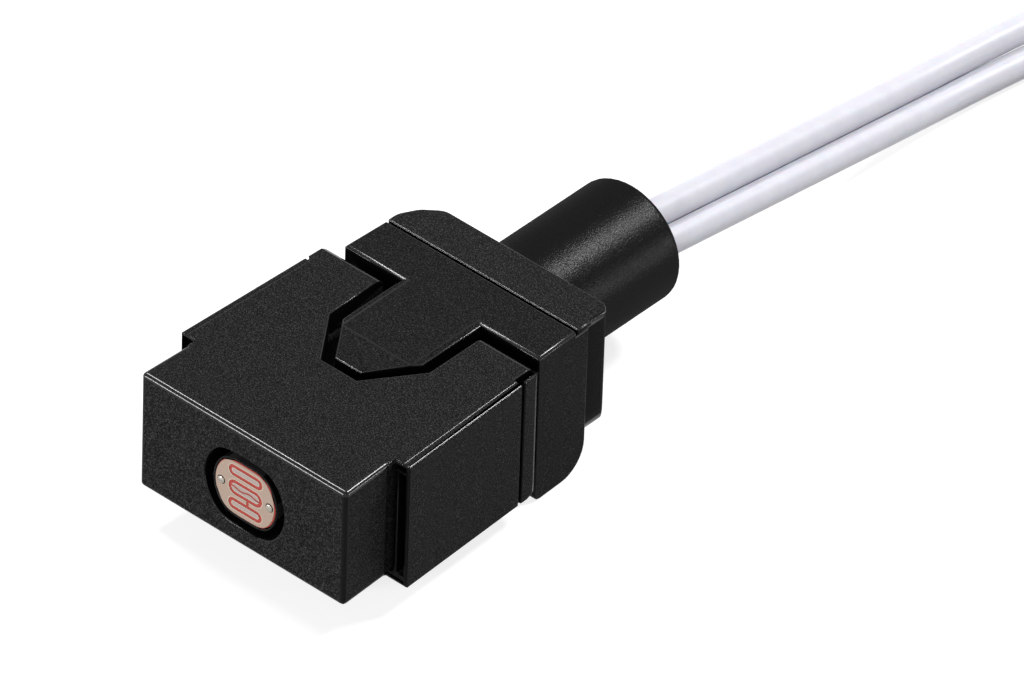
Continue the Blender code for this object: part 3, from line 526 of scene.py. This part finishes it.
def copied(node, name, finishes, edge_break, neighbours=None, splits=(), moved=None, cuts=(), wide=None,
           widths=(), crest=None):
    """A copy of a node's solid: flat faces joined up, outer edges broken, walls in a gap given painted shade.

    The finishes are those of faces, of upper edges, of the painted shade on walls in a gap and of lower
    edges.
    Faces are divided along planes before and after a function gives each point its finished place. Other
    functions pick the edges with a wide rounding, those of another width and the shallow crest lines.
    """
    shape = bmesh.new()
    shape.from_mesh(cad[node].data)
    bmesh.ops.remove_doubles(shape, verts=shape.verts, dist=2e-6)
    cut(shape, splits)
    if moved:
        for vert in shape.verts:
            vert.co = moved(vert.co)
        bmesh.ops.remove_doubles(shape, verts=shape.verts, dist=1e-6)
        bmesh.ops.dissolve_degenerate(shape, dist=1e-6, edges=shape.edges)
    shape.normal_update()
    for face in shape.faces:
        face.material_index = FACE
        # A face that looks onto another moulding close by gets the painted gap shade.
        start = face.calc_center_median() + face.normal * GAP_START
        if neighbours and neighbours.ray_cast(start, face.normal, GAP_REACH)[0]:
            face.material_index = PAINTED_SHADE_GAP_WALL
    bmesh.ops.dissolve_limit(shape, angle_limit=FLAT_ANGLE, verts=shape.verts, edges=shape.edges,
                             delimit={"MATERIAL"})
    cut(shape, cuts)
    shape.normal_update()
    if len(finishes) > 1:
        for face in shape.faces:
            if face.material_index == FACE and is_rounding(face):
                face.material_index = EDGE
    if wide:
        wide_edges = [edge for edge in shape.edges
                      if edge.calc_face_angle(0) > WIDE_ANGLE and all(wide(vert.co) for vert in edge.verts)]
        bmesh.ops.bevel(shape, geom=wide_edges, offset=WIDE_BREAK, offset_type="OFFSET",
                        segments=BREAK_SEGMENTS, profile=0.5, affect="EDGES", material=EDGE, loop_slide=False)
    weight = shape.edges.layers.float.new("bevel_weight_edge")
    for edge in shape.edges:
        if len(edge.link_faces) != 2:
            continue
        angle = edge.calc_face_angle()
        in_gap = all(face.material_index == PAINTED_SHADE_GAP_WALL for face in edge.link_faces)
        if angle > SHARP_ANGLE and edge.is_convex and not in_gap:
            edge[weight] = width_at(edge, widths, edge_break) / WIDE_BREAK
        elif angle > SHARP_ANGLE:
            edge.smooth = False
        elif crest and angle > CREST_ANGLE and all(crest(vert.co) for vert in edge.verts):
            edge[weight] = CREST_WIDTH / WIDE_BREAK
    mesh = bpy.data.meshes.new(name)
    shape.to_mesh(mesh)
    shape.free()
    for polygon in mesh.polygons:
        polygon.use_smooth = True
    for finish in finishes:
        mesh.materials.append(finish)
    piece = bpy.data.objects.new(name, mesh)
    scene.collection.objects.link(piece)
    piece.data = with_broken_edges(piece)
    weighted = piece.modifiers.new("flat_faces", "WEIGHTED_NORMAL")
    weighted.keep_sharp = True
    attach(piece, "root")
    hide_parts(node)
    return piece


def soft_reach(turn, radius, flat):
    """How far a flat-sided outline with soft corners lies from its middle in one direction."""
    rise = max(abs(math.sin(turn)), 1e-6)
    return (radius ** -SOFT_POWER + (flat / rise) ** -SOFT_POWER) ** (-1 / SOFT_POWER)


def soft_sided(across, rise, old, radius, flat):
    """Moves a point of a flat-sided outline to one of another size whose corners are soft.

    The angle at which the old outline's arcs end is given, and the new arcs run on to a steeper one.
    """
    turn = math.atan2(abs(rise), abs(across)) * SOFT_CORNER / old
    reach = soft_reach(turn, radius, flat)
    return math.copysign(reach * math.cos(turn), across), math.copysign(reach * math.sin(turn), rise)


def with_finished_nose(place):
    """The nose's outer edges are sharp until they are broken, and its foot reaches a little lower.

    The recess has soft corners.
    """
    reach = math.hypot(place.x, place.z - CELL_Z)
    if place.y < RECESS_Y + NEAR and RECESS_WALL[0] < reach < RECESS_WALL[1]:
        lip = RECESS_LIP if place.y < FRONT_Y + NEAR else 0
        x, z = soft_sided(place.x, place.z - CELL_Z, RECESS_CORNER, RECESS_RADIUS + lip, RECESS_FLAT + lip)
        return Vector((CELL_X + x, place.y, CELL_Z + z))
    y = place.y - FRONT_Y
    x = NOSE_HALF - DRAFT * y - abs(place.x)
    z = place.z - HEAD_Z
    if place.y > WING_Y + NEAR or x < -NEAR:
        return place
    at_foot = -NEAR < z < FOOT_HEIGHT
    rounding = FOOT_ROUND + NEAR if at_foot else NOSE_ROUND
    in_groove = place.y > GROOVE_Y + FINE or (place.y > GROOVE_Y - FINE and x > GROOVE_INSET)
    y = 0 if y < rounding else y
    x = 0 if x < rounding else x
    half = NOSE_HALF - DRAFT * y - x
    if at_foot:
        half = min(half, GROOVE_FLOOR) if in_groove else half
        height = HEAD_Z - FOOT_DROP
    else:
        height = TOP_Z if place.z > TOP_Z - NOSE_ROUND else place.z
    return Vector((math.copysign(half, place.x), FRONT_Y + y, height))


def on_nose_edge(place):
    """The nose's outer edges, where two of its front, sides, top and foot meet."""
    off_side = abs(place.x) - NOSE_HALF + DRAFT * (place.y - FRONT_Y)
    meeting = [place.y < FRONT_Y + NEAR, abs(off_side) < NEAR,
               place.z > TOP_Z - NEAR, place.z < HEAD_Z - NEAR]
    return place.y < GROOVE_Y - FINE and sum(meeting) >= 2


def on_recess_rim(place):
    """The edge round the recess."""
    return place.y < RECESS_Y and math.hypot(place.x - CELL_X, place.z - CELL_Z) < RECESS_WALL[1]


def in_neck(place):
    """The rear body's neck and its bores, hidden in the head."""
    return place.y < NECK_END_Y and NECK_HEIGHT[0] < place.z < NECK_HEIGHT[1]


def on_tongue(place):
    """The tongue's upper side."""
    return place.z > TOP_Z - TONGUE_FALL and place.y < TONGUE_ROOT_Y and abs(place.x) < TONGUE_HALF


across, upward = (0, 1, 0), (0, 0, 1)
nose_splits = [((0, GROOVE_Y + step, 0), across) for step in (-3e-6, 3e-6)]
nose_cuts = [((0, GROOVE_Y - 0.0001, 0), across), ((0, 0, HEAD_Z + 0.0004), upward)]
mouldings = surfaces(("head_housing", "rear_body", "rear_cover", "cable_sleeve", "photocell_case"))
# The third finish is painted shade: a darker plastic for walls in a gap.
edges = (edge_plastic("glossy_edge_plastic", 0.22), painted_gap_shade_plastic(), edge_plastic("dull_edge_plastic", 0.05))
copied("head_housing", "head_moulding", (black_plastic("head_plastic", 0.003, 0.0170), *edges),
       EDGE_BREAK, mouldings, splits=nose_splits, moved=with_finished_nose, cuts=nose_cuts,
       wide=on_nose_edge, widths=((on_recess_rim, RIM_BREAK),))
copied("rear_body", "rear_body_moulding", (black_plastic("body_plastic", 0.003, 0.0130), *edges),
       EDGE_BREAK, mouldings, splits=[((0, 0, HEAD_Z), upward)],
       widths=((in_neck, 0),), crest=on_tongue)
cover_plastic = black_plastic("cover_plastic", 0.004, 0.0185)
# Painted shade: the cover's sides get a darker copy of its plastic, for the shade that falls on them.
cover_side_painted_shade = black_plastic("cover_side_painted_shade", 0.0008, 0.004)
cover = copied("rear_cover", "rear_cover_moulding", (cover_plastic, *edges, cover_side_painted_shade),
               EDGE_BREAK, mouldings)
for polygon in cover.data.polygons:
    if polygon.material_index == FACE and abs(polygon.normal.x) > 0.9:
        polygon.material_index = PAINTED_SHADE_COVER_SIDE


# Cable sleeve
# A soft round sleeve of satin black rubber, pushed through the cover from inside and held by its groove.
# Its moulded surface has a very fine grain, and shows the lamps behind it as broad soft stripes.
SLEEVE_EDGE_BREAK = 0.00005


def satin_rubber():
    made, tree, shader = new_material("satin_rubber")
    shader.inputs["Specular IOR Level"].default_value = 0.0
    shader.inputs["Coat Weight"].default_value = 0.070
    shader.inputs["Coat IOR"].default_value = 2.2
    grain = noise(tree, 11000, 1.0, 0.5)
    tinted(tree, shader, grain, ((0.35, (0.0003, 0.0003, 0.0003)), (0.75, (0.0012, 0.0012, 0.0012))))
    varied(tree, shader, "Coat Roughness", grain, 0.22, 0.32)
    bumped(tree, shader, grain, 0.8, 0.00003, "Coat Normal")
    return made


copied("cable_sleeve", "rubber_sleeve", (satin_rubber(),), SLEEVE_EDGE_BREAK)


# Photocell
# A flat-sided ceramic chip in a shallow black resin cup. A brick red layer shows in the track between the
# printed metal films, clear resin covers all, and two tinned leads end in low round heads.
FILM_Y = -0.018185
FILM_THICKNESS = 0.000015
LAYER_Y = (FILM_Y + 0.000025, FILM_Y + 0.000105)
FILM_OUTLINE = (0.00249, 0.00209)
FILM_SHIFT = (-0.00004, -0.00002)
LAYER_OUTLINE = (0.00255, 0.00215)
CUP_OUTLINES = ((0.00255, 0.00215), (0.00258, 0.00218), (0.00274, 0.00234))
LOOP_REACH = (0.000985, 0.000845, 0.000985)
LOOP_RADIUS = (0.00044, 0.00058, 0.00044)
LOOP_LEVEL = (CELL_Z + 0.00132, CELL_Z, CELL_Z - 0.00132)
TRACK = 0.00024
WAVE_TRACK = 0.00013
WAVE_HEIGHT = 0.00007
WAVE_LENGTH = 0.00142
LINK = (0.0001, 0.0003)
HALO = 0.00012
POST_X = 0.00205
POST_HOLE = 0.00028
POST_RING = 0.00033
POST_RING_FADE = 0.00004
POST_RING_TONE = 0.2
FILM_TONE = 0.35
CLOUD_SHARE = 0.3
FILM_EDGE_BREAK = 0.00002
CUP_RIM = 1


def resin(name, gloss, dark, light):
    """Cast black resin with a faint flow."""
    made, tree, shader = new_material(name)
    flow = noise(tree, 1500)
    shader.inputs["Specular IOR Level"].default_value = gloss
    tinted(tree, shader, flow, ((0.3, (dark, dark, dark)), (0.7, (light, light, light))))
    varied(tree, shader, "Roughness", flow, 0.18, 0.30)
    bumped(tree, shader, flow, 0.15, 0.00003)
    return made


def math_node(tree, operation, first, second):
    """One Math node, with a socket or a number at each input."""
    node = tree.nodes.new("ShaderNodeMath")
    node.operation = operation
    for socket, value in zip(node.inputs, (first, second)):
        if isinstance(value, (int, float)):
            socket.default_value = value
        else:
            tree.links.new(value, socket)
    return node.outputs[0]


def face_place(tree):
    """The distance across from the cell's middle, and the height, as two sockets."""
    place = tree.nodes.new("ShaderNodeTexCoord")
    parts = tree.nodes.new("ShaderNodeSeparateXYZ")
    tree.links.new(place.outputs["Object"], parts.inputs[0])
    across = math_node(tree, "ABSOLUTE", math_node(tree, "SUBTRACT", parts.outputs["X"], CELL_X), 0)
    return across, parts.outputs["Z"]


def distance(tree, across, rise):
    """The length of a slanting line from its two parts."""
    squares = math_node(tree, "ADD", math_node(tree, "MULTIPLY", across, across),
                        math_node(tree, "MULTIPLY", rise, rise))
    return math_node(tree, "SQRT", squares, 0)


def near_tracks(tree):
    """One at the tracks' edges, falling to zero at the halo's width away from them."""
    across, height = face_place(tree)
    nearest = None
    for reach, radius, level in zip(LOOP_REACH, LOOP_RADIUS, LOOP_LEVEL):
        past = math_node(tree, "MAXIMUM", math_node(tree, "SUBTRACT", across, reach), 0)
        rise = math_node(tree, "SUBTRACT", height, level)
        middle = math_node(tree, "SUBTRACT", distance(tree, past, rise), radius - TRACK / 2)
        away = math_node(tree, "SUBTRACT", math_node(tree, "ABSOLUTE", middle, 0), TRACK / 2)
        nearest = away if nearest is None else math_node(tree, "MINIMUM", nearest, away)
    return math_node(tree, "SUBTRACT", 1.0, math_node(tree, "DIVIDE", nearest, HALO))


def outside_posts(tree):
    """Low in a fine dark ring round each lead's head, rising past one beside it."""
    across, height = face_place(tree)
    past = math_node(tree, "SUBTRACT", across, POST_X)
    rise = math_node(tree, "SUBTRACT", height, CELL_Z)
    beyond = math_node(tree, "SUBTRACT", distance(tree, past, rise), POST_RING)
    return math_node(tree, "ADD", math_node(tree, "DIVIDE", beyond, POST_RING_FADE), POST_RING_TONE)


def metal_film(name, plain, halo):
    """Printed film under clear resin: a plain tone with a paler line along the tracks."""
    made, tree, shader = new_material(name)
    shader.inputs["Specular IOR Level"].default_value = 0.2
    cloud = noise(tree, 1300)
    level = math_node(tree, "ADD", near_tracks(tree), math_node(tree, "MULTIPLY", cloud, CLOUD_SHARE))
    level = math_node(tree, "MINIMUM", math_node(tree, "MAXIMUM", level, FILM_TONE), outside_posts(tree))
    tinted(tree, shader, level, ((0.05, (0.05, 0.035, 0.03)), (FILM_TONE, plain), (0.75, halo)))
    varied(tree, shader, "Roughness", cloud, 0.35, 0.5)
    bumped(tree, shader, cloud, 0.15, 0.00002)
    return made


def brick_layer():
    made, tree, shader = new_material("brick_layer")
    shader.inputs["Specular IOR Level"].default_value = 0.2
    grain = noise(tree, 12000, 2.0)
    tinted(tree, shader, grain, ((0.35, (0.24, 0.024, 0.017)), (0.65, (0.42, 0.064, 0.048))))
    varied(tree, shader, "Roughness", grain, 0.4, 0.6)
    bumped(tree, shader, grain, 0.3, 0.00002)
    return made


def fired_ceramic():
    made, tree, shader = new_material("fired_ceramic")
    grain = noise(tree, 4000)
    tinted(tree, shader, grain, ((0.3, (0.72, 0.68, 0.62)), (0.7, (0.82, 0.79, 0.74))))
    varied(tree, shader, "Roughness", grain, 0.5, 0.7)
    bumped(tree, shader, grain, 0.2, 0.00002)
    return made


def on_cell(place):
    """The cell's place, with soft corners on the outlines of its chip and its cup."""
    x, z = place.x, place.z - CELL_Z
    reach = math.hypot(x, z)
    for radius, flat in CUP_OUTLINES:
        if abs(reach - radius) < NEAR:
            x, z = soft_sided(x, z, math.asin(flat / radius), radius, flat)
            break
    return Vector((CELL_X + x, place.y, CELL_Z + z))


def soft_outline(radius, flat, shift=(0, 0)):
    """A flat-sided outline with soft corners, as (x, z) points."""
    points = []
    for turn in (math.radians(3 * i) for i in range(120)):
        reach = soft_reach(turn, radius, flat)
        points.append((shift[0] + reach * math.cos(turn), CELL_Z + shift[1] + reach * math.sin(turn)))
    return points


def half_loop(loop, inset, end, start=-90, finish=90):
    """One round end of a loop, drawn the way round that it turns to the left."""
    radius = LOOP_RADIUS[loop] - inset
    turns = [math.radians(start + (finish - start) * i / 14) for i in range(15)]
    return [(end * (LOOP_REACH[loop] + radius * math.cos(t)), LOOP_LEVEL[loop] + end * radius * math.sin(t))
            for t in turns]


def linked_slots():
    """The middle and the lower slot with the short link between them, as one outline."""
    low, high = LINK
    middle_bottom = LOOP_LEVEL[1] - LOOP_RADIUS[1]
    lower_top = LOOP_LEVEL[2] + LOOP_RADIUS[2]
    return ([(high, middle_bottom)] + half_loop(1, 0, 1) + half_loop(1, 0, -1) + [(low, middle_bottom)]
            + [(low, lower_top)] + half_loop(2, 0, -1) + half_loop(2, 0, 1) + [(high, lower_top)])


def wavy_finger(side):
    """The half of the middle finger that lies above or below the wavy line."""
    def line(x):
        return side * WAVE_TRACK / 2 + WAVE_HEIGHT * math.sin(2 * math.pi * x / WAVE_LENGTH)

    radius = LOOP_RADIUS[1] - TRACK
    limit = LOOP_REACH[1] + radius - WAVE_TRACK / 2
    steps = [-limit + 2 * limit * i / 40 for i in range(41)]
    wave = [(x, LOOP_LEVEL[1] + line(x)) for x in steps]
    turns = [math.degrees(math.asin(side * line(end * limit) / radius)) for end in (1, -1)]
    right = half_loop(1, TRACK, 1, side * turns[0], side * 90)
    left = half_loop(1, TRACK, -1, -side * 90, -side * turns[1])
    return wave + right + left


def filled(name, outlines, depth, finish, node):
    """A thin flat piece between two depths. The first outline is its edge and the others are its holes."""
    curve = bpy.data.curves.new(name, "CURVE")
    curve.dimensions = "2D"
    curve.fill_mode = "BOTH"
    curve.extrude = (depth[1] - depth[0]) / 2
    for outline in outlines:
        spline = curve.splines.new("POLY")
        spline.points.add(len(outline) - 1)
        spline.use_cyclic_u = True
        for target, (x, z) in zip(spline.points, outline):
            target.co = (CELL_X + x, z, 0, 1)
    drawn = bpy.data.objects.new(name, curve)
    scene.collection.objects.link(drawn)
    mesh = bpy.data.meshes.new_from_object(drawn.evaluated_get(bpy.context.evaluated_depsgraph_get()))
    bpy.data.objects.remove(drawn)
    shape = bmesh.new()
    shape.from_mesh(mesh)
    for vert in shape.verts:
        vert.co = Vector((vert.co.x, sum(depth) / 2 - vert.co.z, vert.co.y))
    bmesh.ops.remove_doubles(shape, verts=shape.verts, dist=1e-7)
    bmesh.ops.recalc_face_normals(shape, faces=shape.faces)
    shape.to_mesh(mesh)
    shape.free()
    mesh.set_sharp_from_angle(angle=math.radians(30))
    mesh.materials.clear()
    mesh.materials.append(finish)
    made = bpy.data.objects.new(name, mesh)
    scene.collection.objects.link(made)
    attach(made, "root")
    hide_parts(node)


brick, ceramic = brick_layer(), fired_ceramic()
film = metal_film("electrode_film", (0.36, 0.270, 0.216), (0.46, 0.375, 0.31))
finger = metal_film("electrode_finger", (0.35, 0.29, 0.26), (0.44, 0.37, 0.33))
# Painted light: the cup's sides get a lighter copy of the black resin than its front rim, for the light they
# catch in the recess.
cup_resins = (resin("satin_resin_painted_light", 0.20, 0.020, 0.030), resin("rim_resin", 0.05, 0.003, 0.006))
cup = copied("photocell_case", "resin_cup", cup_resins, FILM_EDGE_BREAK * 2, moved=on_cell)
for polygon in cup.data.polygons:
    if polygon.normal.y < -0.7:
        polygon.material_index = CUP_RIM
copied("photocell_ceramic", "ceramic_chip", (ceramic,), FILM_EDGE_BREAK, moved=on_cell)
post_turns = [math.radians(20 * i) for i in range(18)]
post_circle = [(POST_HOLE * math.cos(turn), CELL_Z + POST_HOLE * math.sin(turn)) for turn in post_turns]
post_holes = [[(side * POST_X + x, z) for x, z in post_circle] for side in (-1, 1)]
film_depth = (FILM_Y, FILM_Y + FILM_THICKNESS)
filled("brick_red_layer", [soft_outline(*LAYER_OUTLINE), *post_holes], LAYER_Y, brick,
       "photoconductive_layer")
upper_slot = half_loop(0, 0, 1) + half_loop(0, 0, -1)
film_outlines = [soft_outline(*FILM_OUTLINE, FILM_SHIFT), upper_slot, linked_slots(), *post_holes]
filled("printed_film", film_outlines, film_depth, film, "electrode_film")
finger_outlines = {
    "upper": half_loop(0, TRACK, 1) + half_loop(0, TRACK, -1),
    "middle_upper": wavy_finger(1),
    "middle_lower": wavy_finger(-1),
    "lower": half_loop(2, TRACK, 1) + half_loop(2, TRACK, -1),
}
for part, outline in finger_outlines.items():
    filled(f"printed_finger_{part}", [outline], film_depth, finger,
           f"electrode_finger_{part}")
for side_name, *_ in SIDES:
    copied(f"{side_name}_photocell_lead", f"{side_name}_lead_with_head", (tin,),
           FILM_EDGE_BREAK / 2, moved=on_cell)


# Joints inside
# Each photocell lead is crimped to a stranded conductor in a rolled brass splice, under a shrunk tube.
# The insulated wires bend together behind the splices and run out through the sleeve.
CONDUCTOR_Y = (-0.009835, -0.007345)


def rolled_brass():
    made, tree, shader = new_material("rolled_brass")
    shader.inputs["Metallic"].default_value = 1.0
    drawn = noise(tree, 2500, 3.0, 0.6, (1, 0.2, 1))
    tinted(tree, shader, drawn, ((0.3, (0.50, 0.36, 0.16)), (0.7, (0.68, 0.52, 0.27))))
    varied(tree, shader, "Roughness", drawn, 0.26, 0.44)
    bumped(tree, shader, drawn, 0.25, 0.00002)
    return made


def shrunk_tube():
    made, tree, shader = new_material("shrunk_tube")
    skin = noise(tree, 3000)
    tinted(tree, shader, skin, ((0.3, (0.010, 0.010, 0.011)), (0.7, (0.024, 0.024, 0.026))))
    varied(tree, shader, "Roughness", skin, 0.38, 0.55)
    bumped(tree, shader, skin, 0.3, 0.00004)
    return made


def bare_copper():
    made, tree, shader = new_material("bare_copper")
    shader.inputs["Metallic"].default_value = 1.0
    skin = noise(tree, 4000)
    tinted(tree, shader, skin, ((0.3, (0.62, 0.27, 0.14)), (0.7, (0.80, 0.42, 0.26))))
    varied(tree, shader, "Roughness", skin, 0.24, 0.42)
    bumped(tree, shader, skin, 0.2, 0.00002)
    return made


brass, shrink, copper = rolled_brass(), shrunk_tube(), bare_copper()
for side_name, side, *_ in SIDES:
    copied(f"{side_name}_splice", f"{side_name}_brass_splice", (brass,), FILM_EDGE_BREAK)
    copied(f"{side_name}_insulating_tube", f"{side_name}_shrunk_tube", (shrink,),
           FILM_EDGE_BREAK)
    copied(f"{side_name}_inner_wire", f"{side_name}_wire_inside", (insulation,),
           FILM_EDGE_BREAK)
    start, end = (Vector((side * POST_X, y, CELL_Z)) for y in CONDUCTOR_Y)
    straight = [start.lerp(end, i / 4) for i in range(5)]
    stranded(f"{side_name}_copper_strands", straight, 1.2, copper,
             f"{side_name}_conductor")
